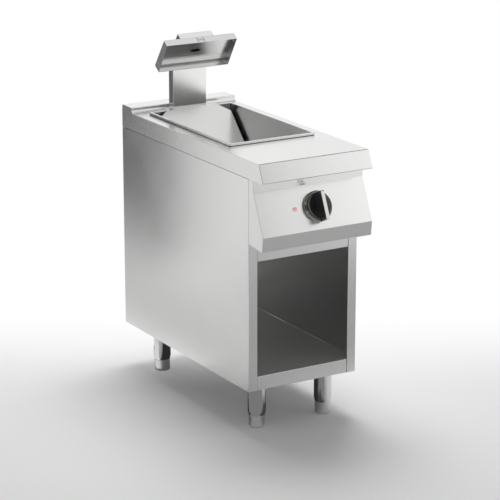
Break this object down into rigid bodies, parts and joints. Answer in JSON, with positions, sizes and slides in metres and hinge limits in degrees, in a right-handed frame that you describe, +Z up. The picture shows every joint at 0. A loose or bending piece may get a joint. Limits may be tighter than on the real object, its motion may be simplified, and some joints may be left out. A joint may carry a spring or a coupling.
{
  "type": "fry warmer",
  "caption": "Electric fry warmer on an open cabinet: heated worktop basin with a slide plate, radiant hood on a bent post, control knob and adjustable feet.",
  "frame": {"origin": "centre of the bounding box at floor level, in the middle plane of the cabinet", "axes": "+Z up from the floor, +X to the right seen from the front, +Y from the front towards the rear"},
  "size_m": [0.4, 0.958, 1.1674],
  "materials": {
    "steel": "satin, fine brushed",
    "inner_steel": "plain mill finish",
    "foot_steel": "satin tube",
    "fastener": "bright",
    "knob_ring": "satin, bronze tint",
    "knob_body": "satin black",
    "knob_strip": "satin",
    "lens": "translucent red",
    "black_plastic": "matt",
    "regulator": "moulded",
    "terminals": "moulded",
    "seal": "matt",
    "board": "pressed mineral wool",
    "element": "oxidised sheath",
    "foil": "etched foil between sheets",
    "copper": "drawn",
    "brass": "turned",
    "wire": "silicone sleeve"
  },
  "bodies": {
    "cabinet": {"left_side_panel": "steel", "right_side_panel": "steel", "back_panel": "inner_steel", "bottom_shelf": "steel", "front_base_channel": "inner_steel", "rear_base_channel": "inner_steel", "head_rail": "steel", "rear_top_rail": "inner_steel", "compartment_ceiling": "inner_steel", "worktop": "steel", "left_worktop_bearer": "inner_steel", "right_worktop_bearer": "inner_steel", "basin": "steel", "basin_gasket": "seal", "basin_brackets": "inner_steel", "heating_element": "element", "element_clamps": "inner_steel", "insulation_board": "board", "insulation_tray": "inner_steel", "control_panel": "steel", "regulator": "regulator", "thermostat_bulb": "copper", "pilot_lens": "lens", "pilot_body": "black_plastic", "panel_plug": "black_plastic", "terminal_block": "terminals", "cable_gland": "black_plastic", "cable_grommet": "seal", "bonding_stud": "brass", "lamp_post": "steel", "post_cover": "steel", "post_foot": "inner_steel", "post_backing_plate": "inner_steel", "post_bolts": "fastener", "lamp_hood": "steel", "hood_liner": "steel", "radiant_heater": "foil", "hood_clip": "steel", "hood_screws": "fastener", "hood_rivets": "fastener", "lamp_cable": "wire", "supply_wiring": "wire", "back_panel_screws": "fastener", "foot_ring_nuts": "fastener", "foot_sleeve_front_left": "foot_steel", "foot_sleeve_front_right": "foot_steel", "foot_sleeve_rear_left": "foot_steel", "foot_sleeve_rear_right": "foot_steel"},
    "knob": {"knob_body": "knob_body", "knob_ring": "knob_ring", "knob_strip": "knob_strip", "regulator_shaft": "fastener"},
    "false_bottom": {"false_bottom": "steel"},
    "slide_plate": {"slide_plate": "steel"},
    "foot_front_left": {"foot_front_left": "foot_steel"},
    "foot_front_right": {"foot_front_right": "foot_steel"},
    "foot_rear_left": {"foot_rear_left": "foot_steel"},
    "foot_rear_right": {"foot_rear_right": "foot_steel"}
  },
  "joints": [
    {"name": "knob_turn", "type": "hinge", "parent": "cabinet", "child": "knob", "pos_m": [0.013, -0.41262, 0.73943], "axis": [0, -0.913, 0.4081], "range_deg": [-270, 0]},
    {"name": "false_bottom_lift", "type": "slide", "parent": "cabinet", "child": "false_bottom", "axis": [0, 0, 1], "range_m": [0, 0.08]},
    {"name": "slide_plate_lift", "type": "slide", "parent": "false_bottom", "child": "slide_plate", "axis": [0, -0.7193, 0.6947], "range_m": [0, 0.3]},
    {"name": "foot_front_left_level", "type": "slide", "parent": "cabinet", "child": "foot_front_left", "axis": [0, 0, -1], "range_m": [-0.02, 0.03]},
    {"name": "foot_front_right_level", "type": "slide", "parent": "cabinet", "child": "foot_front_right", "axis": [0, 0, -1], "range_m": [-0.02, 0.03]},
    {"name": "foot_rear_left_level", "type": "slide", "parent": "cabinet", "child": "foot_rear_left", "axis": [0, 0, -1], "range_m": [-0.02, 0.03]},
    {"name": "foot_rear_right_level", "type": "slide", "parent": "cabinet", "child": "foot_rear_right", "axis": [0, 0, -1], "range_m": [-0.02, 0.03]}
  ]
}
